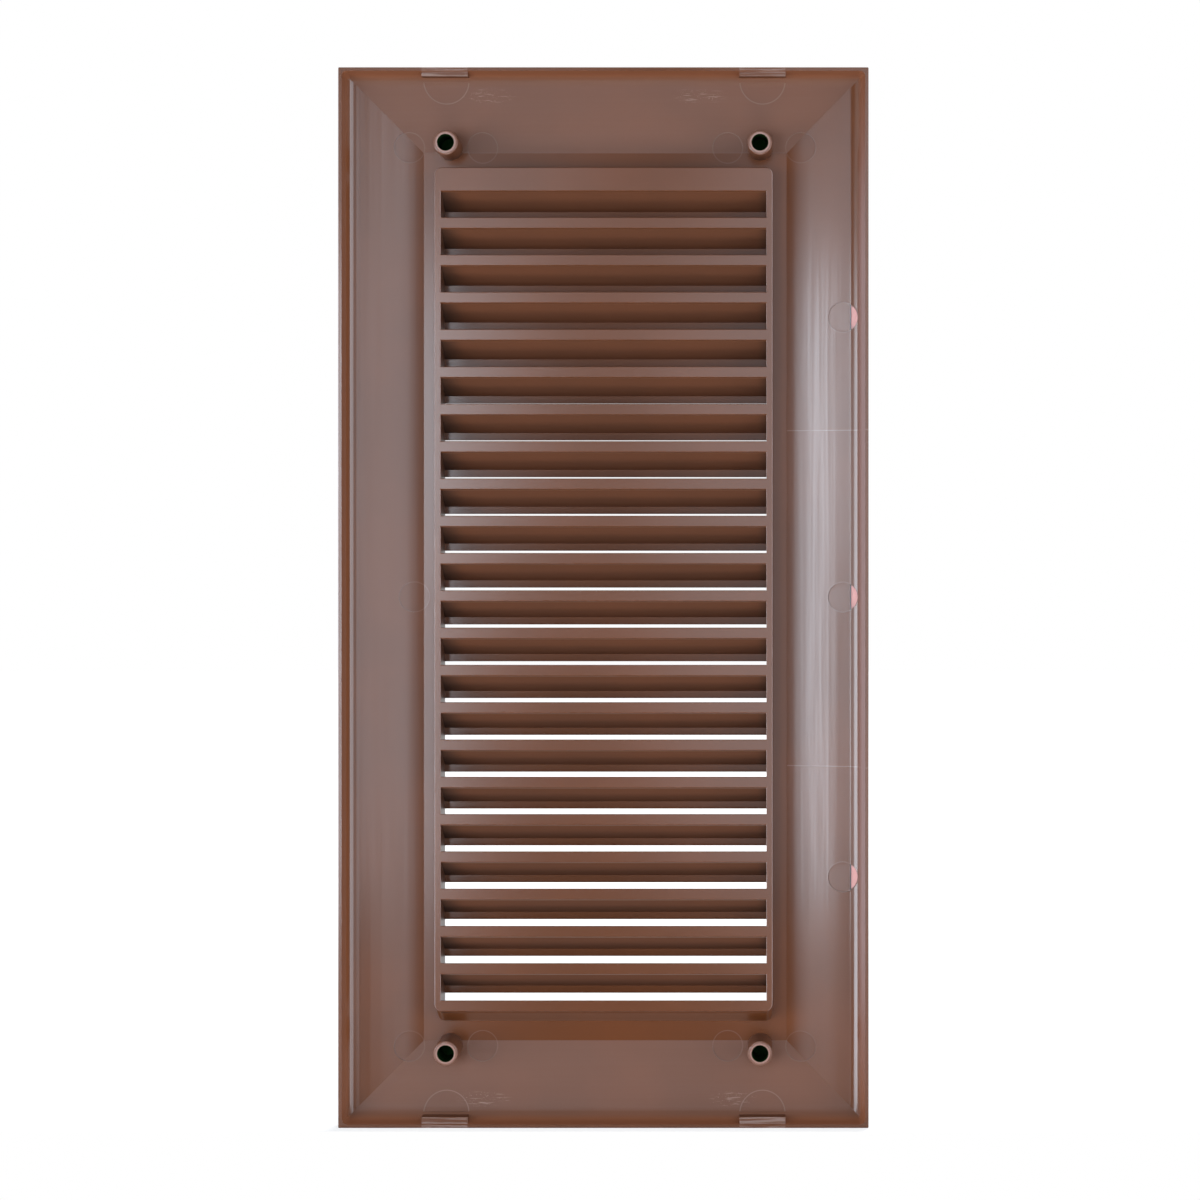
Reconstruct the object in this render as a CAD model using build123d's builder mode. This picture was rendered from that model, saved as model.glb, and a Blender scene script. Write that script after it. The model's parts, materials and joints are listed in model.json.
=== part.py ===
from build123d import *

import os
from math import radians, tan

# Louvred wall vent, moulded in one piece, in millimetres.
# The rim lies on the wall at Y = 0. The front faces -Y, the back faces +Y and +Z is up.
# Depths are measured from the rim plane towards the front.

# Overall size
vent_width = 152.4
vent_height = 304.8
corner_round = 0.3

# Dished frame band and the thin rim that meets the wall
band_width = 23.5
band_fall = 4.1
band_bow = 0.2
wall = 2.5
rim_thickness = 0.95
rim_foot = 2.6
rim_foot_round = 4.6
shoulder_round = 2.5
tray_corner_round = 1.6

# Flat ledge between the band and the louvre collar
ledge_depth = 8.0
ledge_side = 4.1
ledge_top = 5.2
ledge_bottom = 5.73

# Collar that frames the louvres
collar_recess = 0.5
collar_wall = 1.75
collar_round = 2.0
top_band = 6.4

# Slats, sloping down from back to front, with a drip lip along the front edge
slat_pitch = 10.725
slat_tip = 3.2
slat_angle = 29.4
lip_height = 2.1
lip_thickness = 1.1
mouth_round = 0.2

# Blind screw bosses
boss_diameter = 7.2
boss_bore = 4.7
boss_rise = 3.0
boss_bore_depth = 9.0
boss_from_ledge_side = 7.7
boss_beyond_ledge_end = 1.5
boss_round = 0.6

# Ejector tabs on the rim, a little outside the bosses
tab_beyond_boss = 0.7
tab_width = 13.3
tab_reach_top = 2.5
tab_reach_bottom = 3.0
tab_drop = 0.5
tab_mark_width = 13.1
tab_mark_reach = 9.6
tab_mark_base = 3.7

# Ejector pin marks
mark_depth = 0.2
pin_diameter = 8.7
pin_beyond_boss = 11.8
pin_before_boss = 9.4
middle_pin_inset = 20.8
side_pin_inset = 7.2
side_pin_spacing = 81.0
land_inset = 5.0
land_step = 0.5

# How far a cut runs past the face that it opens
cut_over = 1.0

# Worked out from the sizes above
half_width = vent_width / 2
half_height = vent_height / 2
front_depth = ledge_depth + wall
ledge_half_width = half_width - band_width
ledge_half_height = half_height - band_width
collar_half_width = ledge_half_width - ledge_side
collar_top = ledge_half_height - ledge_top
collar_rise = ledge_depth - collar_recess
slat_slope = tan(radians(slat_angle))
collar_root = ledge_bottom - ledge_half_height
collar_foot = collar_root + slat_slope * collar_rise
slot_width = 2 * (collar_half_width - collar_wall)
slot_mouth = slat_pitch - slat_tip
louvre_depth = front_depth - collar_recess
lip_start = louvre_depth - lip_thickness
field_bottom = collar_foot + slat_tip
field_room = collar_top - top_band - field_bottom
slot_count = int((field_room + slat_tip) // slat_pitch)
boss_x = ledge_half_width - boss_from_ledge_side
boss_z = ledge_half_height + boss_beyond_ledge_end
boss_wall = (boss_diameter - boss_bore) / 2
tab_x = boss_x + tab_beyond_boss
tab_mark_z = half_height - tab_mark_reach + tab_mark_width / 2
side_pins = [(side_pin_inset - half_width, row * side_pin_spacing) for row in (-1, 0, 1)]

# Section planes whose first axis runs along the side that they cut, with the depth along -Y
across = Plane.XY
upright = Plane(origin=(0, 0, 0), x_dir=(0, 0, 1), z_dir=(-1, 0, 0))


def band_depth(inset):
    """Depth of the band's back face, without its bow, at a distance in from the outer edge."""
    return ledge_depth - band_fall * (1 - inset / band_width)


def dish_section(half_span, lip_inset, foot_inset, foot_depth, floor_depth, foot_round):
    """Symmetric dished section: a steep edge, a bowed band and a flat floor."""
    lip = (half_span - lip_inset, 0)
    foot = (half_span - foot_inset, -foot_depth)
    floor = (half_span - band_width, -floor_depth)
    with BuildSketch() as section:
        with BuildLine():
            Line((0, 0), lip)
            Line(lip, foot)
            SagittaArc(foot, floor, -band_bow)
            Line(floor, (0, -floor_depth))
            mirror(about=Plane.YZ)
        make_face()
        feet = [v for v in section.vertices() if abs(v.Y + foot_depth) < 1e-6]
        fillet(feet, foot_round)
    return section.sketch


def outer_section(half_span):
    """Section of the vent's outside, from the rim plane to the front face."""
    return dish_section(half_span, 0, 0, front_depth - band_fall, front_depth, shoulder_round)


def tray_section(half_span):
    """Section of the hollow behind the frame, from the rim plane to the ledge."""
    foot_depth = band_depth(rim_foot)
    return dish_section(half_span, rim_thickness, rim_foot, foot_depth, ledge_depth, rim_foot_round)


# Outside form: two crossed sections meet in mitred corners
with BuildPart() as outside:
    with BuildSketch(across):
        add(outer_section(half_width))
    extrude(amount=half_height, both=True)
    with BuildSketch(upright):
        add(outer_section(half_height))
    extrude(amount=half_width, both=True, mode=Mode.INTERSECT)
    with BuildSketch(Plane.XZ):
        RectangleRounded(vent_width, vent_height, corner_round)
    extrude(amount=front_depth, mode=Mode.INTERSECT)

# Hollow behind the frame, with the same mitred corners, rounded down its steep wall
wall_inset = rim_thickness + (rim_foot - rim_thickness) * ledge_depth / band_depth(rim_foot)
with BuildPart() as tray:
    with BuildSketch(across):
        add(tray_section(half_width))
    extrude(amount=half_height, both=True)
    with BuildSketch(upright):
        add(tray_section(half_height))
    extrude(amount=half_width, both=True, mode=Mode.INTERSECT)
    for depth, inset in ((0, rim_thickness), (ledge_depth, wall_inset)):
        with BuildSketch(Plane.XZ.offset(depth)):
            RectangleRounded(vent_width - 2 * inset, vent_height - 2 * inset, tray_corner_round)
    loft(mode=Mode.INTERSECT)
    with BuildSketch(Plane.XZ.offset(tab_drop)):
        for end, reach in ((1, tab_reach_top), (-1, tab_reach_bottom)):
            tab_z = end * (half_height - reach / 2)
            with Locations((-tab_x, tab_z), (tab_x, tab_z)):
                Rectangle(tab_width, reach)
    extrude(amount=ledge_depth, mode=Mode.SUBTRACT)

# Ejector pin marks, pressed a little into the back of the frame
with BuildPart() as pin_marks:
    with BuildSketch(Plane.XZ):
        with GridLocations(2 * tab_x, 2 * tab_mark_z, 2, 2):
            Circle(tab_mark_width / 2)
        Rectangle(vent_width, vent_height - 2 * tab_mark_base, mode=Mode.INTERSECT)
        for pin_x in (boss_x - pin_before_boss, boss_x + pin_beyond_boss):
            with GridLocations(2 * pin_x, 2 * boss_z, 2, 2):
                Circle(pin_diameter / 2)
        with Locations((half_width - middle_pin_inset, 0), *side_pins):
            Circle(pin_diameter / 2)
    extrude(amount=front_depth)
    add(tray.part.moved(Location((0, -mark_depth, 0))), mode=Mode.INTERSECT)

# Flat lands that the side pins leave at the foot of the rim
with BuildPart() as pin_lands:
    with BuildSketch(Plane.XZ):
        with Locations(*side_pins):
            Circle(pin_diameter / 2)
        with Locations((land_inset - half_width, 0)):
            Rectangle(land_inset, vent_height, align=(Align.MAX, Align.CENTER), mode=Mode.INTERSECT)
    extrude(amount=band_depth(land_inset) + land_step)

# Louvre collar: its top wall is upright and its bottom wall slopes with the slats
with BuildPart() as collar:
    with BuildSketch(Plane.YZ):
        with BuildLine():
            Polyline(
                (-collar_recess, collar_top),
                (-front_depth, collar_top),
                (-front_depth, collar_foot - slat_slope * louvre_depth),
                (-collar_recess, collar_foot),
                close=True,
            )
        make_face()
    extrude(amount=collar_half_width, both=True)
    side_edges = collar.edges().group_by(Axis.X)[0] + collar.edges().group_by(Axis.X)[-1]
    fillet(side_edges.filter_by(Axis.Z, reverse=True), collar_round)

# One slot between two slats; the drip lip hangs into its front end
with BuildPart() as slot:
    with BuildSketch(Plane.YZ):
        with BuildLine():
            lip_top = slot_mouth - slat_slope * lip_start
            lip_bottom = lip_top - lip_height
            cut_depth = louvre_depth + cut_over
            Polyline(
                (cut_over, 0),
                (0, 0),
                (-cut_depth, -slat_slope * cut_depth),
                (-cut_depth, lip_bottom),
                (-lip_start, lip_bottom),
                (-lip_start, lip_top),
                (0, slot_mouth),
                (cut_over, slot_mouth),
                close=True,
            )
        make_face()
    extrude(amount=slot_width / 2, both=True)

# The whole moulding
with BuildPart() as vent_moulding:
    add(outside.part)
    add(tray.part, mode=Mode.SUBTRACT)
    add(pin_marks.part, mode=Mode.SUBTRACT)
    add(pin_lands.part, mode=Mode.SUBTRACT)
    add(collar.part)

    with BuildSketch(Plane.XZ.offset(-boss_rise)):
        with GridLocations(2 * boss_x, 2 * boss_z, 2, 2):
            Circle(boss_diameter / 2)
    extrude(amount=boss_rise + ledge_depth + wall / 2)

    slot_heights = [field_bottom + row * slat_pitch for row in range(slot_count)]
    slots = [slot.part.moved(Location((0, -collar_recess, height))) for height in slot_heights]
    add(slots, mode=Mode.SUBTRACT)
    level_faces = vent_moulding.faces().filter_by(Axis.Y)
    tip_faces = level_faces.filter_by_position(Axis.Y, -collar_recess, -collar_recess)
    fillet(tip_faces.sort_by(SortBy.AREA)[-1].edges(), min(mouth_round, slat_tip / 3, collar_wall / 3))

    with BuildSketch(Plane.XZ.offset(-boss_rise)):
        with GridLocations(2 * boss_x, 2 * boss_z, 2, 2):
            Circle(boss_bore / 2)
    extrude(amount=boss_bore_depth, mode=Mode.SUBTRACT)

    boss_tips = vent_moulding.edges().filter_by(GeomType.CIRCLE).group_by(Axis.Y)[-1]
    fillet(boss_tips.group_by(SortBy.RADIUS)[-1], min(boss_round, boss_wall / 2))

vent_moulding.part.label = "vent_moulding"

os.makedirs("parts", exist_ok=True)
export_step(vent_moulding.part, "parts/vent_moulding.step")
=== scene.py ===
import json
import math
from collections import namedtuple
from functools import reduce

import bpy
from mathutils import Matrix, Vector


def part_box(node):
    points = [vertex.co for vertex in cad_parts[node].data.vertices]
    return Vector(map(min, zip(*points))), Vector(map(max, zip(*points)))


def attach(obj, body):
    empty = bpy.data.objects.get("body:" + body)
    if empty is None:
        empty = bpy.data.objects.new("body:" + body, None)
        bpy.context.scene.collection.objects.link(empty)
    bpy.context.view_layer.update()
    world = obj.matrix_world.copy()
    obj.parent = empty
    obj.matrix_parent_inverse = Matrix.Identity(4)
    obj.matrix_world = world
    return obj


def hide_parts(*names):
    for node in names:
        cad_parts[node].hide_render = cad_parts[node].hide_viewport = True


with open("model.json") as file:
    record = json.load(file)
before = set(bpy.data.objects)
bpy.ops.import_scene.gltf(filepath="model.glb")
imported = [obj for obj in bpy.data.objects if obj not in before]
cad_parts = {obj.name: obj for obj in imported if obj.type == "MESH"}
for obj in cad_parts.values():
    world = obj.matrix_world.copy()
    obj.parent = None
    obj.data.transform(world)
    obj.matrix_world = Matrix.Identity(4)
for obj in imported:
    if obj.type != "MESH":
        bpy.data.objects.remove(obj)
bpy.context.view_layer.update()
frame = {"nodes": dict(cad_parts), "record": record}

bl_info = {
    "name": "Louvred Vent",
    "version": (1, 0, 0),
    "blender": (4, 5, 0),
    "location": "3D View > Sidebar > Vent",
    "description": "Dresses a one-piece moulded louvred vent and sets its studio stage",
    "category": "Object",
}

NODE = "vent_moulding"
BODY = "root"
SLOT = "brown_plastic"
MM = 0.001

# Places on the vent that its finish follows, in metres
BOSSES = next(m for m in frame["record"]["mounts"] if m["kind"] == "bolt_pattern")["dims"]
BOSS_X = BOSSES["spacing_x_mm"] / 2 * MM
BOSS_Z = BOSSES["spacing_y_mm"] / 2 * MM
BORE_RADIUS = BOSSES["hole_r_mm"] * MM
LOW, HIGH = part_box(NODE)
HALF_WIDTH = HIGH.x
HALF_HEIGHT = HIGH.z
BAND_WIDTH = 23.5 * MM
BAND_INNER_X = BAND_WIDTH - HALF_WIDTH
COLLAR_HALF_WIDTH = 48.6 * MM
SLOT_HALF_WIDTH = 46.85 * MM
LOUVRE_REACH = 120.0 * MM
MOUTH_Y = -0.5 * MM
LEDGE_Y = -8.0 * MM
BORE_FLOOR = -6.0 * MM
PIN_RADIUS = 4.35 * MM
BOSS_PINS = (BOSS_X - 9.4 * MM, BOSS_X + 11.8 * MM)
MIDDLE_PIN = (HALF_WIDTH - 20.8 * MM, 0.0)
SIDE_PIN = (7.2 * MM - HALF_WIDTH, 0.0)
SIDE_PIN_SPACING = 81.0 * MM
LAND_X = 5.0 * MM - HALF_WIDTH
LAND_Y = -4.87 * MM
TAB_X = BOSS_X + 0.7 * MM
TAB_HALF_WIDTH = 6.65 * MM
TAB_FOOT = HALF_HEIGHT - 3.0 * MM
TAB_MARK = (TAB_X, HALF_HEIGHT - 3.05 * MM)
TAB_MARK_RADIUS = 6.55 * MM
TAB_MARK_BASE = HALF_HEIGHT - 3.7 * MM
WITNESS_LINES = (48.3 * MM, -49.0 * MM)
SCUFFS = (
    (33.5 * MM, 145.0 * MM),
    (-27.4 * MM, 145.0 * MM),
    (34.9 * MM, -145.2 * MM),
    (-37.5 * MM, -145.2 * MM),
)
SCUFF_HALF_WIDTH = 9.0 * MM
SCUFF_HALF_HEIGHT = 2.6 * MM

# Kinds of face. Each pair, here and below, is where a mask is 0 and where it is 1.
# These are parts of the normal along Y, then along X.
BACK_FACE = (0.3, 0.6)
ANY_BACK_FACE = (0.05, 0.2)
LINE_FACE = (0.0, 0.1)
FLAT_FACE = (0.994, 0.998)
STEEP_FACE = (0.85, 0.45)
SIDE_FACE = (0.8, 0.95)
LEANING_FACE = (0.15, 0.40)

# Soft edges of the large areas, as places and distances
MITRE = (0.05 * MM, -0.05 * MM)
BAND = (BAND_WIDTH + 0.1 * MM, BAND_WIDTH - 0.1 * MM)
TOE = (BAND_WIDTH - 6.0 * MM, BAND_WIDTH)
LEDGE = (LEDGE_Y + 1.0 * MM, LEDGE_Y + 0.5 * MM)
DULL_SIDE = (COLLAR_HALF_WIDTH, COLLAR_HALF_WIDTH - 10.0 * MM)
WALL = (4.0 * MM, 3.5 * MM)
SLOT_DEPTH = (-0.9 * MM, -1.3 * MM)
SLOT_WIDTH = (SLOT_HALF_WIDTH + 0.1 * MM, SLOT_HALF_WIDTH - 0.1 * MM)
SLOT_FIELD = (LOUVRE_REACH, LOUVRE_REACH - 0.5 * MM)
# Ends of the slots, which get painted shade
NEAR_SLOT_END = (SLOT_HALF_WIDTH - 7.0 * MM, SLOT_HALF_WIDTH)
FAR_SLOT_END = (3.0 * MM - SLOT_HALF_WIDTH, -SLOT_HALF_WIDTH)
# Where the painted sheen lies on the rim's wall beside the side pins
SHEEN_SIDE = (LAND_X, LAND_X - 1.0 * MM)
SHEEN_HEIGHT = (HALF_HEIGHT, HALF_HEIGHT - 60.0 * MM)

# Soft edges of the small marks
BORE = (BORE_RADIUS + 0.12 * MM, BORE_RADIUS + 0.02 * MM)
BORE_DEPTH = (BORE_FLOOR - 0.6 * MM, BORE_FLOOR - 0.2 * MM)
TIP_TOP = (HIGH.y - 0.7 * MM, HIGH.y - 0.1 * MM)
# The painted highlight on the boss tips grows between these radii
TIP_GLINT = (BORE_RADIUS + 0.75 * MM, BORE_RADIUS + 0.35 * MM)
LAND_ROUND = (PIN_RADIUS - 0.05 * MM, PIN_RADIUS - 0.15 * MM)
LAND_SIDE = (LAND_X - 0.10 * MM, LAND_X - 0.20 * MM)
LAND_FLOOR = (LAND_Y + 0.15 * MM, LAND_Y + 0.05 * MM)
# Where the painted shadow line along the lands lies
LAND_LINE_ROUND = (PIN_RADIUS, PIN_RADIUS - 0.1 * MM)
LAND_LINE = (0.25 * MM, 0.15 * MM)
MOUTH_FOOT = (MOUTH_Y - 0.30 * MM, MOUTH_Y - 0.20 * MM)
MOUTH_TOP = (MOUTH_Y + 0.05 * MM, MOUTH_Y + 0.01 * MM)
MOUTH_SIDE = (COLLAR_HALF_WIDTH + 0.2 * MM, COLLAR_HALF_WIDTH + 0.1 * MM)
RING_LINE = (0.26 * MM, 0.06 * MM)
TAB_MARK_CUT = (TAB_MARK_BASE, TAB_MARK_BASE - 0.1 * MM)
WITNESS_LINE = (0.25 * MM, 0.05 * MM)
WITNESS_BAND = (BAND_INNER_X, BAND_INNER_X - 0.3 * MM)
SCUFF_SPOT = (1.0, 0.1)
TAB_SIDE = (TAB_HALF_WIDTH, TAB_HALF_WIDTH - 0.1 * MM)
TAB_END = (TAB_FOOT - 0.1 * MM, TAB_FOOT)
TAB_LEVEL = (-0.8 * MM, -0.6 * MM)

# Noise: its scale, detail, stretch along the axes, and the values where its mask is 0 and 1
NoiseKind = namedtuple("NoiseKind", "scale detail stretch edge")
EVEN = (1.0, 1.0, 1.0)
FLOW_PATCHES = NoiseKind(28.0, 4.0, EVEN, (0.38, 0.66))
SCUFF_LINES = NoiseKind(2600.0, 2.0, (0.10, 1.0, 1.0), (0.56, 0.72))
SCUFF_SPECKS = NoiseKind(2400.0, 2.0, EVEN, (0.60, 0.74))
TAB_LINES = NoiseKind(1900.0, 2.0, (0.04, 0.3, 1.0), (0.40, 0.66))
UPRIGHT_STREAKS = NoiseKind(1500.0, 3.0, (1.0, 1.0, 0.012), None)
LEVEL_STREAKS = NoiseKind(1500.0, 3.0, (0.012, 1.0, 1.0), None)
GRAIN = NoiseKind(1400.0, 2.0, EVEN, None)
STREAK_GLOSS = (0.3, 0.7)

# How strongly each mark, painted highlight and painted shade changes the colour
SHEEN_MIX = 0.6
LINE_MIX = 0.22
FAINT_RING = 0.5
SCUFF_MIX = 0.4
NEAR_END_MIX = 0.6
FAR_END_MIX = 0.4
SLOT_END_MIX = 0.8
LAND_LINE_MIX = 0.85
EDGE_HIGHLIGHT_MIX = 0.6
TIP_MIX = 0.5
TIP_OUTER_SHARE = 0.2

# Index of refraction, and the roughness and specular level that areas and marks add or take away
PLASTIC_IOR = 1.5
STREAK_ROUGHNESS = 0.03
MARK_ROUGHNESS = 0.3
SHINE = 0.5
SLOT_LOSS = 0.25
LIP_LOSS = 0.05
FLAT_LOSS = 0.08
LEDGE_LOSS = 0.20
TOE_LOSS = 0.38
EDGE_LOSS = 0.40
BORE_LOSS = 0.45

# Relief of the surface
STREAK_RELIEF = 0.12
GRAIN_RELIEF = 0.06
BUMP_STRENGTH = 0.05
BUMP_DISTANCE = 0.2 * MM

# How the copy of the CAD mesh is cleaned and shaded
WELD = 0.002 * MM
FLAT_ANGLE = math.radians(0.5)
SMOOTH_ANGLE = math.radians(32)
CREASE_SLACK = 0.02 * MM

# White table top. Its edge on the camera's side is just past the boss tips.
# Its own glow keeps it white, and is weaker near the vent, so that the vent's shadow shows.
FLOOR_WIDTH = 4.0
FLOOR_DEPTH = 2.2
FLOOR_EDGE = 0.004
FLOOR_PAINT = 0.85
FLOOR_GLOW = 1.8
NEAR_GLOW_SHARE = 0.35
FAR_GLOW_SHARE = 0.60
SHADOW_REACH = (0.20, 0.50)

# Lamps, which all aim at the vent's centre: each has a size, a place and a power property
Lamp = namedtuple("Lamp", "name power size place cool")
LAMPS = (
    Lamp("key_lamp", "key_power", (0.080, 0.38), (0.194, 0.72, -0.015), True),
    Lamp("small_lamp", "small_power", (0.055, 0.18), (0.132, 0.72, 0.085), True),
    Lamp("fill_lamp", "fill_power", (0.24, 0.40), (-0.100, 0.76, 0.0), True),
    Lamp("high_key_lamp", "high_key_power", (0.19, 0.13), (0.145, 0.72, 0.240), True),
    Lamp("high_fill_lamp", "high_fill_power", (0.20, 0.11), (-0.120, 0.76, 0.255), True),
    Lamp("low_key_lamp", "low_key_power", (0.10, 0.14), (0.190, 0.72, -0.275), True),
    Lamp("low_fill_lamp", "low_fill_power", (0.17, 0.14), (-0.135, 0.76, -0.265), True),
    Lamp("left_lamp", "left_power", (0.55, 0.62), (0.90, 0.55, -0.11), True),
    Lamp("near_left_lamp", "near_left_power", (0.36, 0.42), (0.56, 0.83, -0.05), True),
    Lamp("near_right_lamp", "near_right_power", (0.50, 0.70), (-0.52, 0.80, 0.0), True),
    Lamp("right_lamp", "right_power", (0.60, 0.85), (-0.90, 0.50, 0.0), True),
    Lamp("top_lamp", "top_power", (0.60, 0.50), (0.10, 0.55, 1.0), True),
    Lamp("low_lamp", "low_power", (0.60, 0.40), (0.0, 0.65, -0.75), False),
    Lamp("front_lamp", "front_power", (0.70, 0.50), (-0.35, -0.85, 0.75), False),
)
WHITE = (1.0, 1.0, 1.0)

# Grey card behind the camera
CARD_PLACE = (0.0, 1.4, 0.3)
CARD_SIZE = (4.5, 4.0, 1.0)

# The photograph's frame, in its own pixels: its size, where the camera's axis meets the rim
# plane, and the rim's centre and height
PHOTO_SIZE = 1200
AXIS_PIXEL = (767.0, 526.0)
RIM_CENTRE_PIXEL = (603.4, 597.65)
RIM_HEIGHT_PIXELS = 1060.7
CAMERA_CLIP = 0.01


class VentFinish(bpy.types.PropertyGroup):
    """Finish of the moulded plastic, with the colours of its painted highlights and shade."""

    brown: bpy.props.FloatVectorProperty(
        name="Brown",
        description="Main colour of the plastic",
        default=(0.086, 0.0264, 0.0090),
        size=3,
        subtype="COLOR",
    )
    brown_red: bpy.props.FloatVectorProperty(
        name="Reddish brown",
        description="Colour of the warmer flow patches",
        default=(0.096, 0.0290, 0.0098),
        size=3,
        subtype="COLOR",
    )
    # Painted highlight: pale pink laid on the side pins' lands, where their flat floors catch the
    # light.
    land: bpy.props.FloatVectorProperty(
        name="Pin land",
        description="Pale colour of the strained plastic on the ejector pin lands",
        default=(0.57, 0.265, 0.24),
        size=3,
        subtype="COLOR",
    )
    # Painted highlight: pale colour laid on the boss tips, where their rounds catch the light.
    tip: bpy.props.FloatVectorProperty(
        name="Boss tip",
        description="Paler colour of the worn tips of the screw bosses",
        default=(0.34, 0.20, 0.17),
        size=3,
        subtype="COLOR",
    )
    # Painted shade: near-black green laid inside the deep screw bores.
    bore: bpy.props.FloatVectorProperty(
        name="Bore",
        description="Dark colour inside the screw bosses",
        default=(0.006, 0.019, 0.005),
        size=3,
        subtype="COLOR",
    )
    # Painted light: a brighter, warmer brown on the rim's steep inner wall, for the light that the
    # bands bounce onto it.
    wall: bpy.props.FloatVectorProperty(
        name="Wall brown",
        description="Warmer brown of the rim's steep inner wall",
        default=(0.150, 0.0480, 0.0190),
        size=3,
        subtype="COLOR",
    )
    # Painted sheen: pale colour on the rim's wall beside the side pins, for the reflection of the
    # left lamps there.
    painted_sheen: bpy.props.FloatVectorProperty(
        name="Haze",
        description="Pale strained plastic on the wall beside the side pins",
        default=(0.30, 0.21, 0.205),
        size=3,
        subtype="COLOR",
    )
    # Painted highlight: pale colour on the upright rounds of the collar and of the slot mouths.
    edge: bpy.props.FloatVectorProperty(
        name="Edge",
        description="Paler colour of the worn upright edges of the collar and slots",
        default=(0.40, 0.28, 0.25),
        size=3,
        subtype="COLOR",
    )
    # Painted shade: dark colour towards the ends of the slots, on their end faces and along the
    # lands' inner edge, where shadow falls.
    painted_shade: bpy.props.FloatVectorProperty(
        name="Grime",
        description="Dark colour of the dust in the ends of the slots",
        default=(0.010, 0.005, 0.003),
        size=3,
        subtype="COLOR",
    )
    # Pale colour of the scuffs and tool lines, and a painted highlight on the outlines of the
    # marks.
    scuff_and_highlight: bpy.props.FloatVectorProperty(
        name="Scuff",
        description="Pale colour of handling scuffs, tool lines and mark outlines",
        default=(0.30, 0.22, 0.19),
        size=3,
        subtype="COLOR",
    )
    roughness: bpy.props.FloatProperty(
        name="Roughness",
        description="Mean roughness of the semi-gloss side bands",
        default=0.18,
        subtype="FACTOR",
    )
    slot_roughness: bpy.props.FloatProperty(
        name="Slot roughness",
        description="Mean roughness of the matt faces between the slats",
        default=0.75,
        subtype="FACTOR",
    )
    end_roughness: bpy.props.FloatProperty(
        name="End band roughness",
        description="Mean roughness of the less polished bands at the top and bottom",
        default=0.53,
        subtype="FACTOR",
    )
    flat_roughness: bpy.props.FloatProperty(
        name="Flat face roughness",
        description="Mean roughness of the flat faces: rim, ledge, collar and slat tips",
        default=0.19,
        subtype="FACTOR",
    )
    wall_roughness: bpy.props.FloatProperty(
        name="Wall roughness",
        description="Mean roughness of the steep walls and of the front",
        default=0.50,
        subtype="FACTOR",
    )


class VentStage(bpy.types.PropertyGroup):
    """Studio stage: floor, lamps and camera."""

    camera_distance: bpy.props.FloatProperty(
        name="Camera distance",
        description="Distance of the camera from the rim plane",
        default=0.70,
        unit="LENGTH",
    )
    sensor: bpy.props.FloatProperty(
        name="Sensor width",
        description="Width of the camera's sensor in millimetres",
        default=36.0,
    )
    cool: bpy.props.FloatVectorProperty(
        name="Lamp colour",
        description="Cool daylight colour of the lamps on the back",
        default=(0.79, 0.89, 1.0),
        size=3,
        subtype="COLOR",
    )
    key_power: bpy.props.FloatProperty(
        name="Key power",
        description="Power of the soft lamp at the left of the camera",
        default=1.35,
        unit="POWER",
    )
    small_power: bpy.props.FloatProperty(
        name="Small power",
        description="Power of the small lamp between the key lamp and the camera",
        default=0.17,
        unit="POWER",
    )
    fill_power: bpy.props.FloatProperty(
        name="Fill power",
        description="Power of the weak lamp beside the camera",
        default=1.095,
        unit="POWER",
    )
    high_key_power: bpy.props.FloatProperty(
        name="High key power",
        description="Power of the weak lamp over the key lamp",
        default=0.20,
        unit="POWER",
    )
    high_fill_power: bpy.props.FloatProperty(
        name="High fill power",
        description="Power of the weak lamp over the fill lamp",
        default=0.25,
        unit="POWER",
    )
    low_key_power: bpy.props.FloatProperty(
        name="Low key power",
        description="Power of the weak lamp under the key lamp",
        default=0.11,
        unit="POWER",
    )
    low_fill_power: bpy.props.FloatProperty(
        name="Low fill power",
        description="Power of the weak lamp under the fill lamp",
        default=0.163,
        unit="POWER",
    )
    left_power: bpy.props.FloatProperty(
        name="Left power",
        description="Power of the copy lamp far to the left",
        default=12.0,
        unit="POWER",
    )
    near_left_power: bpy.props.FloatProperty(
        name="Near left power",
        description="Power of the lamp between the key lamp and the left copy lamp",
        default=1.4,
        unit="POWER",
    )
    near_right_power: bpy.props.FloatProperty(
        name="Near right power",
        description="Power of the lamp between the fill lamp and the right copy lamp",
        default=1.6,
        unit="POWER",
    )
    right_power: bpy.props.FloatProperty(
        name="Right power",
        description="Power of the copy lamp far to the right",
        default=8.2,
        unit="POWER",
    )
    top_power: bpy.props.FloatProperty(
        name="Top power",
        description="Power of the lamp overhead",
        default=1.3,
        unit="POWER",
    )
    low_power: bpy.props.FloatProperty(
        name="Low power",
        description="Power of the lamp below the table's edge",
        default=4.2,
        unit="POWER",
    )
    front_power: bpy.props.FloatProperty(
        name="Front power",
        description="Power of the soft lamp that lights the louvres' front",
        default=10.0,
        unit="POWER",
    )
    card_grey: bpy.props.FloatProperty(
        name="Card grey",
        description="Brightness of the grey card behind the camera that the gloss shows",
        default=0.15,
    )
    ambient: bpy.props.FloatProperty(
        name="Ambient",
        description="Strength of the even light from all round",
        default=0.12,
    )


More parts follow.
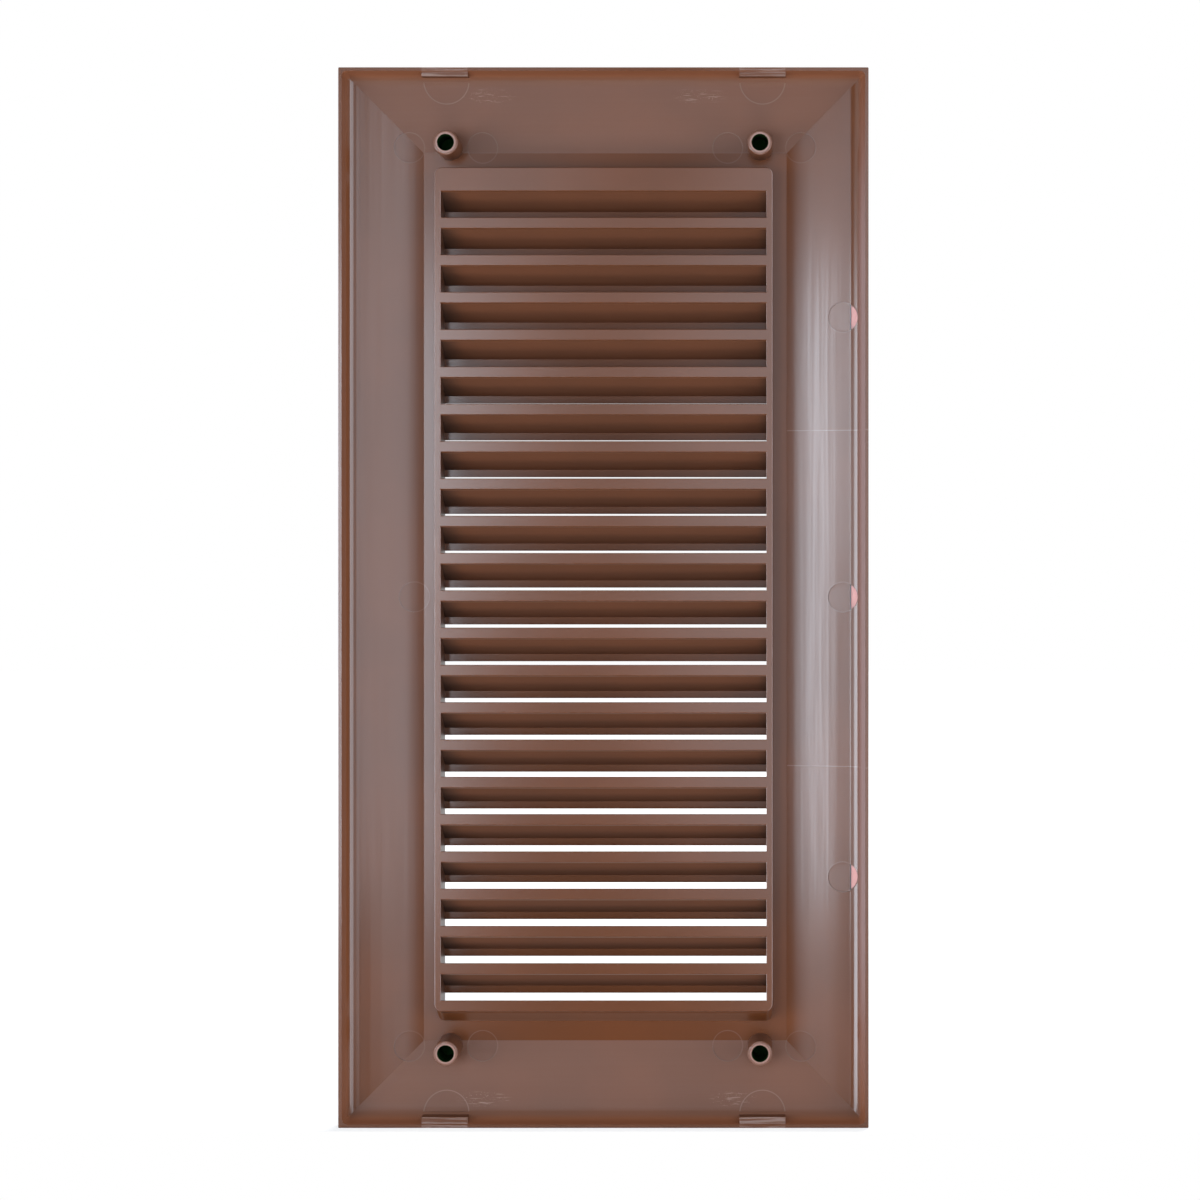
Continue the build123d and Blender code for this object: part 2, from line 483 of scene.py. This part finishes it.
class NodeBoard:
    """Places nodes in one node tree and links them."""

    def __init__(self, tree):
        self.tree = tree
        self.tree.nodes.clear()

    def add(self, kind, inputs=None, **options):
        """A new node with its options set and its inputs fed."""
        node = self.tree.nodes.new(kind)
        for name, value in options.items():
            setattr(node, name, value)
        for name, value in (inputs or {}).items():
            self.feed(node.inputs[name], value)
        return node

    def feed(self, socket, value):
        """Links a socket to another one, or sets its value."""
        if isinstance(value, bpy.types.NodeSocket):
            self.tree.links.new(value, socket)
        else:
            socket.default_value = value

    def math(self, operation, *values, clamp=False):
        """Result of one math node."""
        node = self.add("ShaderNodeMath", operation=operation, use_clamp=clamp)
        for socket, value in zip(node.inputs, values):
            self.feed(socket, value)
        return node.outputs[0]

    def product(self, *values):
        """Product of masks: 1 only where all of them are 1."""
        return reduce(lambda first, second: self.math("MULTIPLY", first, second), values)

    def most(self, *values):
        """Largest of masks: 1 where any of them is 1."""
        return reduce(lambda first, second: self.math("MAXIMUM", first, second), values)

    def gap(self, value, place):
        """Distance along one axis from a place."""
        return self.math("ABSOLUTE", self.math("SUBTRACT", value, place))

    def blend(self, factor, first, second):
        """Blend of two numbers."""
        change = self.math("SUBTRACT", second, first)
        return self.math("MULTIPLY_ADD", change, factor, first)

    def ramp(self, value, zero, one):
        """0 at and before one value, 1 at and past the other, smooth between them."""
        node = self.add("ShaderNodeMapRange", interpolation_type="SMOOTHSTEP")
        self.feed(node.inputs["Value"], value)
        self.feed(node.inputs["From Min"], zero)
        self.feed(node.inputs["From Max"], one)
        return node.outputs["Result"]

    def noise(self, vector, kind):
        """Noise of one kind, turned into a mask where the kind has an edge."""
        mapping = self.add("ShaderNodeMapping", {"Vector": vector, "Scale": kind.stretch})
        inputs = {"Vector": mapping.outputs[0], "Scale": kind.scale, "Detail": kind.detail}
        value = self.add("ShaderNodeTexNoise", inputs).outputs["Fac"]
        return self.ramp(value, *kind.edge) if kind.edge else value

    def mix(self, factor, first, second):
        """Mix of two colours."""
        node = self.add("ShaderNodeMix", data_type="RGBA")
        self.feed(next(s for s in node.inputs if s.type == "VALUE"), factor)
        colours = (s for s in node.inputs if s.type == "RGBA")
        for socket, value in zip(colours, (first, second)):
            is_socket = isinstance(value, bpy.types.NodeSocket)
            self.feed(socket, value if is_socket else (*value, 1.0))
        return next(s for s in node.outputs if s.type == "RGBA")

    def tint(self, colour, mask, weight, paint):
        """A colour with a paint laid over it where a mask is 1."""
        return self.mix(self.math("MULTIPLY", mask, weight), colour, paint)


def distance(board, across, up, centre):
    """Distance in the XZ plane from a centre."""
    dx = board.math("SUBTRACT", across, centre[0])
    dz = board.math("SUBTRACT", up, centre[1])
    squares = board.math("ADD", board.product(dx, dx), board.product(dz, dz))
    return board.math("SQRT", squares)


def ring(board, radius, size):
    """1 on a thin line round a mark."""
    return board.ramp(board.gap(radius, size), *RING_LINE)


class Surface:
    """Where a point lies on the vent, as sockets that the finish reads."""

    def __init__(self, board):
        coordinates = board.add("ShaderNodeTexCoord")
        self.place = coordinates.outputs["Object"]
        axes = board.add("ShaderNodeSeparateXYZ", {"Vector": self.place})
        self.x, self.y, self.z = axes.outputs
        facing = board.add("ShaderNodeSeparateXYZ", {"Vector": coordinates.outputs["Normal"]})
        self.facing_x, self.facing_y = facing.outputs[0], facing.outputs[1]
        self.wide = board.math("ABSOLUTE", self.x)
        self.tall = board.math("ABSOLUTE", self.z)
        self.find_faces(board)
        self.find_frame(board)
        self.find_louvres(board)

    def find_faces(self, board):
        """Kinds of face, told by their normals."""
        lean = board.math("ABSOLUTE", self.facing_x)
        self.back = board.ramp(self.facing_y, *BACK_FACE)
        self.flat = board.ramp(self.facing_y, *FLAT_FACE)
        self.sideways = board.ramp(lean, *SIDE_FACE)
        self.leaning = board.ramp(lean, *LEANING_FACE)

    def find_frame(self, board):
        """The bands, the toe of the side bands, the rim's wall and the duller part of the ledge."""
        side = board.math("SUBTRACT", HALF_WIDTH, self.wide)
        end = board.math("SUBTRACT", HALF_HEIGHT, self.tall)
        nearer_end = board.ramp(board.math("SUBTRACT", end, side), *MITRE)
        nearer_side = board.math("SUBTRACT", 1.0, nearer_end)
        self.end_band = board.product(nearer_end, board.ramp(end, *BAND))
        self.side_band = board.product(board.ramp(side, *BAND), nearer_side)
        self.bands = board.most(self.side_band, self.end_band)
        self.toe = board.product(self.side_band, board.ramp(side, *TOE), self.back)
        self.ledge = board.product(
            self.flat,
            board.ramp(self.y, *LEDGE),
            board.ramp(self.x, *DULL_SIDE),
        )
        self.wall = board.product(
            board.ramp(board.math("MINIMUM", side, end), *WALL),
            board.ramp(self.facing_y, *STEEP_FACE),
            board.ramp(self.facing_y, *ANY_BACK_FACE),
        )

    def find_louvres(self, board):
        """The faces inside the slots, their ends and the backs of the drip lips."""
        inside = board.product(
            board.ramp(self.y, *SLOT_DEPTH),
            board.ramp(self.wide, *SLOT_WIDTH),
            board.ramp(self.tall, *SLOT_FIELD),
        )
        self.lips = board.product(inside, self.flat)
        self.slots = board.math("SUBTRACT", inside, self.lips)
        self.slot_ends = board.product(self.slots, self.sideways)


def boss_distance(board, surface):
    """Distance from the axis of the nearest screw boss."""
    return distance(board, surface.wide, surface.tall, (BOSS_X, BOSS_Z))


def side_pin_distance(board, surface):
    """Distance from the nearest of the three side pins."""
    up = board.math("WRAP", surface.z, SIDE_PIN_SPACING / 2, -SIDE_PIN_SPACING / 2)
    return distance(board, surface.x, up, SIDE_PIN)


def bore_mask(board, surface):
    """1 inside the four screw bores."""
    inside = board.ramp(boss_distance(board, surface), *BORE)
    return board.product(inside, board.ramp(surface.y, *BORE_DEPTH))


def tip_highlight_mask(board, surface):
    """Painted highlight on the tips of the four screw bosses, strongest round the bore."""
    radius = boss_distance(board, surface)
    around = board.ramp(radius, *reversed(BORE))
    glint = board.blend(board.ramp(radius, *TIP_GLINT), TIP_OUTER_SHARE, 1.0)
    return board.product(around, glint, board.ramp(surface.y, *TIP_TOP))


def land_highlight_mask(board, surface):
    """1 on the flat lands of the three side pins, which get a painted pink highlight."""
    return board.product(
        board.ramp(side_pin_distance(board, surface), *LAND_ROUND),
        board.ramp(surface.x, *LAND_SIDE),
        board.ramp(surface.y, *LAND_FLOOR),
        surface.back,
    )


def land_shadow_line(board, surface):
    """1 on the painted shadow line where the lands meet the band."""
    return board.product(
        board.ramp(side_pin_distance(board, surface), *LAND_LINE_ROUND),
        board.ramp(board.gap(surface.x, LAND_X), *LAND_LINE),
        board.ramp(surface.facing_y, *LINE_FACE),
    )


def mouth_edges(board, surface):
    """1 on the small rounds at the mouths of the slots and along the collar's edge."""
    return board.product(
        board.math("SUBTRACT", surface.back, surface.flat),
        board.ramp(surface.wide, *MOUTH_SIDE),
        board.ramp(surface.y, *MOUTH_FOOT),
        board.ramp(surface.y, *MOUTH_TOP),
    )


def mark_lines(board, surface):
    """Thin outlines of the ejector marks, and the two witness lines of one side band."""
    tabs = ring(board, distance(board, surface.wide, surface.tall, TAB_MARK), TAB_MARK_RADIUS)
    tabs = board.product(tabs, board.ramp(surface.tall, *TAB_MARK_CUT))
    pins = [distance(board, surface.wide, surface.tall, (x, BOSS_Z)) for x in BOSS_PINS]
    pins.append(distance(board, surface.x, surface.z, MIDDLE_PIN))
    pins.append(side_pin_distance(board, surface))
    rings = board.most(*(ring(board, radius, PIN_RADIUS) for radius in pins))
    heights = [board.gap(surface.z, height) for height in WITNESS_LINES]
    witnesses = board.most(*(board.ramp(height, *WITNESS_LINE) for height in heights))
    witnesses = board.product(witnesses, board.ramp(surface.x, *WITNESS_BAND))
    lines = board.most(tabs, board.product(rings, FAINT_RING), witnesses)
    return board.product(lines, surface.back)


def scuff_mask(board, surface):
    """Broken pale streaks beside the tabs, where the moulding is handled."""
    spots = []
    for x, z in SCUFFS:
        dx = board.math("DIVIDE", board.math("SUBTRACT", surface.x, x), SCUFF_HALF_WIDTH)
        dz = board.math("DIVIDE", board.math("SUBTRACT", surface.z, z), SCUFF_HALF_HEIGHT)
        reach = board.math("ADD", board.product(dx, dx), board.product(dz, dz))
        spots.append(board.ramp(reach, *SCUFF_SPOT))
    lines = board.noise(surface.place, SCUFF_LINES)
    specks = board.noise(surface.place, SCUFF_SPECKS)
    return board.product(board.most(*spots), board.most(lines, specks), surface.back)


def tab_mask(board, surface):
    """Pale tool lines across the faces of the four tabs."""
    return board.product(
        board.ramp(board.gap(surface.wide, TAB_X), *TAB_SIDE),
        board.ramp(surface.tall, *TAB_END),
        board.ramp(surface.y, *TAB_LEVEL),
        surface.back,
        board.noise(surface.place, TAB_LINES),
    )


class Marks:
    """Traces of moulding and handling, and places for painted highlight and shade, as masks that
    several parts of the finish read.
    """

    def __init__(self, board, surface):
        self.bores = bore_mask(board, surface)
        self.lines = mark_lines(board, surface)
        self.scuffs = board.most(scuff_mask(board, surface), tab_mask(board, surface))
        edges = mouth_edges(board, surface)
        # The upright rounds get a painted highlight; the level ones lose shine instead.
        self.highlit_edges = board.product(edges, surface.leaning)
        self.dull_edges = board.math("SUBTRACT", edges, self.highlit_edges)
        self.grain = board.noise(surface.place, GRAIN)
        level = board.noise(surface.place, LEVEL_STREAKS)
        upright = board.noise(surface.place, UPRIGHT_STREAKS)
        streaks = board.blend(surface.end_band, self.grain, level)
        self.streaks = board.blend(surface.side_band, streaks, upright)


def plastic_colour(board, surface, marks, finish):
    """Brown with flow patches and marks, painted highlights on the pale lands, edges, boss tips and
    rim wall, and painted shade in the dark slot ends and bores.
    """
    patches = board.noise(surface.place, FLOW_PATCHES)
    colour = board.mix(patches, finish.brown, finish.brown_red)
    # Painted light: the brighter wall brown on the rim's steep inner wall.
    colour = board.mix(surface.wall, colour, finish.wall)
    # Painted sheen: pale colour on the wall beside the side pins, in place of a reflection.
    sheen_beside_pins = board.product(
        surface.wall,
        board.ramp(surface.x, *SHEEN_SIDE),
        board.ramp(surface.tall, *SHEEN_HEIGHT),
    )
    colour = board.tint(colour, sheen_beside_pins, SHEEN_MIX, finish.painted_sheen)
    # Painted highlight: pale outlines of the marks, where their small step edges catch the light.
    colour = board.tint(colour, marks.lines, LINE_MIX, finish.scuff_and_highlight)
    colour = board.tint(colour, marks.scuffs, SCUFF_MIX, finish.scuff_and_highlight)
    # Painted highlight: pale pink on the lands of the side pins.
    colour = board.mix(land_highlight_mask(board, surface), colour, finish.land)

    # Painted shade: darker towards both ends of the slots, on the slot end faces and along the
    # lands' inner edge.
    near_end = board.product(board.ramp(surface.x, *NEAR_SLOT_END), NEAR_END_MIX)
    far_end = board.product(board.ramp(surface.x, *FAR_SLOT_END), FAR_END_MIX)
    shade = board.most(
        board.product(surface.slots, board.math("ADD", near_end, far_end)),
        board.product(surface.slot_ends, SLOT_END_MIX),
        board.product(land_shadow_line(board, surface), LAND_LINE_MIX),
    )
    colour = board.mix(shade, colour, finish.painted_shade)
    # Painted highlight on the upright rounds of the collar and slot mouths.
    colour = board.tint(colour, marks.highlit_edges, EDGE_HIGHLIGHT_MIX, finish.edge)
    # Painted highlight on the tips of the screw bosses.
    colour = board.tint(colour, tip_highlight_mask(board, surface), TIP_MIX, finish.tip)
    # Painted shade inside the screw bores.
    return board.mix(marks.bores, colour, finish.bore)


def plastic_roughness(board, surface, marks, finish):
    """Glossy side bands and flats, duller end bands and walls, matt slots and marks."""
    rough = board.blend(surface.end_band, finish.roughness, finish.end_roughness)
    rough = board.blend(surface.flat, rough, finish.flat_roughness)
    rough = board.blend(surface.back, finish.wall_roughness, rough)
    rough = board.blend(surface.slots, rough, finish.slot_roughness)
    rough = board.blend(surface.slot_ends, rough, finish.flat_roughness)
    gloss = board.ramp(marks.streaks, *STREAK_GLOSS)
    change = board.blend(gloss, -STREAK_ROUGHNESS, STREAK_ROUGHNESS)
    rough = board.math("MULTIPLY_ADD", surface.bands, change, rough)
    dull = board.most(marks.scuffs, marks.bores)
    return board.math("MULTIPLY_ADD", dull, MARK_ROUGHNESS, rough, clamp=True)


def plastic_shine(board, surface, marks):
    """Specular level, lower where the moulding is dull or shaded."""
    shine = SHINE
    for mask, loss in (
        (board.math("SUBTRACT", surface.slots, surface.slot_ends), SLOT_LOSS),
        (surface.lips, LIP_LOSS),
        (board.most(surface.flat, surface.end_band), FLAT_LOSS),
        (surface.ledge, LEDGE_LOSS),
        (surface.toe, TOE_LOSS),
        (marks.dull_edges, EDGE_LOSS),
        (marks.bores, BORE_LOSS),
    ):
        shine = board.math("MULTIPLY_ADD", mask, -loss, shine, clamp=True)
    return shine


def plastic_relief(board, surface, marks):
    """Normal with fine streaks along the bands, grain and the outlines of the marks."""
    streaks = board.product(surface.bands, marks.streaks, STREAK_RELIEF)
    grain = board.math("MULTIPLY_ADD", marks.grain, GRAIN_RELIEF, streaks)
    height = board.math("ADD", grain, marks.lines)
    inputs = {"Strength": BUMP_STRENGTH, "Distance": BUMP_DISTANCE, "Height": height}
    return board.add("ShaderNodeBump", inputs).outputs["Normal"]


def brown_plastic(finish):
    """Semi-gloss brown plastic with the traces of its moulding and handling."""
    material = bpy.data.materials.new(SLOT)
    material.use_nodes = True
    board = NodeBoard(material.node_tree)
    surface = Surface(board)
    marks = Marks(board, surface)
    shader = board.add(
        "ShaderNodeBsdfPrincipled",
        {
            "Base Color": plastic_colour(board, surface, marks, finish),
            "Roughness": plastic_roughness(board, surface, marks, finish),
            "Normal": plastic_relief(board, surface, marks),
            "IOR": PLASTIC_IOR,
            "Specular IOR Level": plastic_shine(board, surface, marks),
        },
    )
    board.add("ShaderNodeOutputMaterial", {"Surface": shader.outputs["BSDF"]})
    return material


def seen_directly(board):
    """1 for rays that show the background: camera, glossy and transmission rays."""
    path = board.add("ShaderNodeLightPath")
    kinds = ("Is Camera Ray", "Is Glossy Ray", "Is Transmission Ray")
    return board.most(*(path.outputs[kind] for kind in kinds))


def white_floor():
    """White floor that shows white and keeps the vent's soft shadow."""
    material = bpy.data.materials.new("white_floor")
    material.use_nodes = True
    board = NodeBoard(material.node_tree)
    paint = board.add("ShaderNodeBsdfDiffuse", {"Color": (*[FLOOR_PAINT] * 3, 1.0)})
    glow = board.add("ShaderNodeEmission", {"Color": (*WHITE, 1.0), "Strength": FLOOR_GLOW})
    place = board.add("ShaderNodeTexCoord").outputs["Object"]
    ends = {0: place, 1: (0.0, 0.0, LOW.z)}
    away = board.add("ShaderNodeVectorMath", ends, operation="DISTANCE")
    far = board.ramp(away.outputs["Value"], *SHADOW_REACH)
    share = board.blend(far, NEAR_GLOW_SHARE, FAR_GLOW_SHARE)
    share = board.product(seen_directly(board), share)
    shaders = {0: share, 1: paint.outputs[0], 2: glow.outputs[0]}
    mixed = board.add("ShaderNodeMixShader", shaders)
    board.add("ShaderNodeOutputMaterial", {"Surface": mixed.outputs[0]})
    return material


def deselect_all():
    """Leaves nothing selected and nothing in edit mode."""
    if bpy.context.object and bpy.context.object.mode != "OBJECT":
        bpy.ops.object.mode_set(mode="OBJECT")
    bpy.ops.object.select_all(action="DESELECT")


def make_active(piece):
    """Selects one object alone."""
    deselect_all()
    piece.select_set(True)
    bpy.context.view_layer.objects.active = piece


def on_crease(point):
    """True on the mitre lines of the frame and on the outline of its flat ledge and front."""
    side = HALF_WIDTH - abs(point.x)
    end = HALF_HEIGHT - abs(point.z)
    on_mitre = abs(side - end) < CREASE_SLACK
    return on_mitre or abs(min(side, end) - BAND_WIDTH) < CREASE_SLACK


def select_edges(piece, test):
    """Enters edit mode with only the edges selected whose two ends pass the test."""
    bpy.ops.object.mode_set(mode="EDIT")
    bpy.ops.mesh.select_mode(type="EDGE")
    bpy.ops.mesh.select_all(action="DESELECT")
    bpy.ops.object.mode_set(mode="OBJECT")
    points = piece.data.vertices
    for edge in piece.data.edges:
        edge.select = all(test(points[index].co) for index in edge.vertices)
    bpy.ops.object.mode_set(mode="EDIT")


class VENT_OT_moulding(bpy.types.Operator):
    """Shades the moulding smooth between its creases and gives it its finish"""

    bl_idname = "vent.moulding"
    bl_label = "Vent Moulding"

    def execute(self, context):
        mesh = frame["nodes"][NODE].data.copy()
        piece = bpy.data.objects.new("vent_body", mesh)
        context.scene.collection.objects.link(piece)
        make_active(piece)
        bpy.ops.mesh.customdata_custom_splitnormals_clear()
        bpy.ops.object.mode_set(mode="EDIT")
        bpy.ops.mesh.select_all(action="SELECT")
        bpy.ops.mesh.remove_doubles(threshold=WELD)
        bpy.ops.mesh.dissolve_limited(angle_limit=FLAT_ANGLE)
        bpy.ops.object.mode_set(mode="OBJECT")

        select_edges(piece, on_crease)
        bpy.ops.mesh.mark_sharp()
        bpy.ops.object.mode_set(mode="OBJECT")
        bpy.ops.object.shade_smooth_by_angle(angle=SMOOTH_ANGLE, keep_sharp_edges=True)
        bpy.ops.object.modifier_add(type="WEIGHTED_NORMAL")
        weighted = piece.modifiers[-1]
        weighted.keep_sharp = True
        bpy.ops.object.modifier_apply(modifier=weighted.name)

        piece.data.materials.clear()
        piece.data.materials.append(brown_plastic(context.scene.vent_finish))
        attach(piece, BODY)
        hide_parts(NODE)
        return {"FINISHED"}


def add_floor():
    """White table top that the vent stands on."""
    centre = (0.0, FLOOR_EDGE - FLOOR_DEPTH / 2, LOW.z)
    bpy.ops.mesh.primitive_plane_add(size=1.0, location=centre)
    floor = bpy.context.object
    floor.name = "floor"
    floor.scale = (FLOOR_WIDTH, FLOOR_DEPTH, 1.0)
    bpy.ops.object.transform_apply(location=True, rotation=True, scale=True)
    floor.data.materials.append(white_floor())


def add_lamps(stage):
    """Rectangular soft lamps aimed at the vent's centre."""
    for lamp in LAMPS:
        bpy.ops.object.light_add(type="AREA", location=lamp.place)
        light = bpy.context.object
        light.name = lamp.name
        light.data.shape = "RECTANGLE"
        light.data.size, light.data.size_y = lamp.size
        light.data.energy = getattr(stage, lamp.power)
        light.data.color = stage.cool if lamp.cool else WHITE
        aim = -Vector(lamp.place)
        light.rotation_euler = aim.to_track_quat("-Z", "Y").to_euler()


def add_grey_card(stage):
    """Large grey card behind the camera, so that the gloss doesn't show a white room there."""
    upright = (math.radians(90), 0.0, 0.0)
    bpy.ops.mesh.primitive_plane_add(size=1.0, location=CARD_PLACE, rotation=upright)
    card = bpy.context.object
    card.name = "grey_card"
    card.scale = CARD_SIZE
    bpy.ops.object.transform_apply(location=True, rotation=True, scale=True)
    material = bpy.data.materials.new("grey_card")
    material.use_nodes = True
    board = NodeBoard(material.node_tree)
    glow = board.add("ShaderNodeEmission", {"Color": (*WHITE, 1.0), "Strength": stage.card_grey})
    board.add("ShaderNodeOutputMaterial", {"Surface": glow.outputs[0]})
    card.data.materials.append(material)
    card.visible_camera = False


def light_world(stage):
    """White background, with a weaker even light on the vent."""
    world = bpy.data.worlds.new("white_room")
    bpy.context.scene.world = world
    world.use_nodes = True
    board = NodeBoard(world.node_tree)
    even, white = (
        board.add("ShaderNodeBackground", {"Color": (*WHITE, 1.0), "Strength": strength})
        for strength in (stage.ambient, 1.0)
    )
    shaders = {0: seen_directly(board), 1: even.outputs[0], 2: white.outputs[0]}
    mixed = board.add("ShaderNodeMixShader", shaders)
    board.add("ShaderNodeOutputWorld", {"Surface": mixed.outputs[0]})


def place_camera(stage):
    """Camera square to the back of the vent, shifted to the photograph's framing."""
    per_metre = RIM_HEIGHT_PIXELS / (2 * HALF_HEIGHT)
    camera_x = (RIM_CENTRE_PIXEL[0] - AXIS_PIXEL[0]) / per_metre
    camera_z = (RIM_CENTRE_PIXEL[1] - AXIS_PIXEL[1]) / per_metre
    bpy.ops.object.camera_add(
        location=(camera_x, stage.camera_distance, camera_z),
        rotation=(math.radians(90), 0.0, math.radians(180)),
    )
    camera = bpy.context.object
    camera.name = "photo_camera"
    camera.data.sensor_fit = "HORIZONTAL"
    camera.data.sensor_width = stage.sensor
    camera.data.lens = stage.sensor * stage.camera_distance * per_metre / PHOTO_SIZE
    camera.data.shift_x = (PHOTO_SIZE / 2 - AXIS_PIXEL[0]) / PHOTO_SIZE
    camera.data.shift_y = (AXIS_PIXEL[1] - PHOTO_SIZE / 2) / PHOTO_SIZE
    camera.data.clip_start = CAMERA_CLIP
    bpy.context.scene.camera = camera


class VENT_OT_stage(bpy.types.Operator):
    """Sets the floor, the lamps and the camera"""

    bl_idname = "vent.stage"
    bl_label = "Vent Stage"

    def execute(self, context):
        stage = context.scene.vent_stage
        deselect_all()
        add_floor()
        add_lamps(stage)
        add_grey_card(stage)
        light_world(stage)
        place_camera(stage)
        context.scene.view_settings.view_transform = "Standard"
        return {"FINISHED"}


class VENT_PT_sidebar(bpy.types.Panel):
    """Lists the settings of the vent's finish and stage, each with its button"""

    bl_idname = "VENT_PT_sidebar"
    bl_label = "Louvred Vent"
    bl_space_type = "VIEW_3D"
    bl_region_type = "UI"
    bl_category = "Vent"

    def draw(self, context):
        scene = context.scene
        for settings, operator in (
            (scene.vent_finish, VENT_OT_moulding),
            (scene.vent_stage, VENT_OT_stage),
        ):
            for name in settings.__annotations__:
                self.layout.prop(settings, name)
            self.layout.operator(operator.bl_idname)


CLASSES = (VentFinish, VentStage, VENT_OT_moulding, VENT_OT_stage, VENT_PT_sidebar)


def register():
    for cls in CLASSES:
        bpy.utils.register_class(cls)
    bpy.types.Scene.vent_finish = bpy.props.PointerProperty(type=VentFinish)
    bpy.types.Scene.vent_stage = bpy.props.PointerProperty(type=VentStage)


def unregister():
    del bpy.types.Scene.vent_stage
    del bpy.types.Scene.vent_finish
    for cls in reversed(CLASSES):
        bpy.utils.unregister_class(cls)


def main():
    register()
    bpy.ops.vent.moulding()
    bpy.ops.vent.stage()


if __name__ == "__main__":
    main()
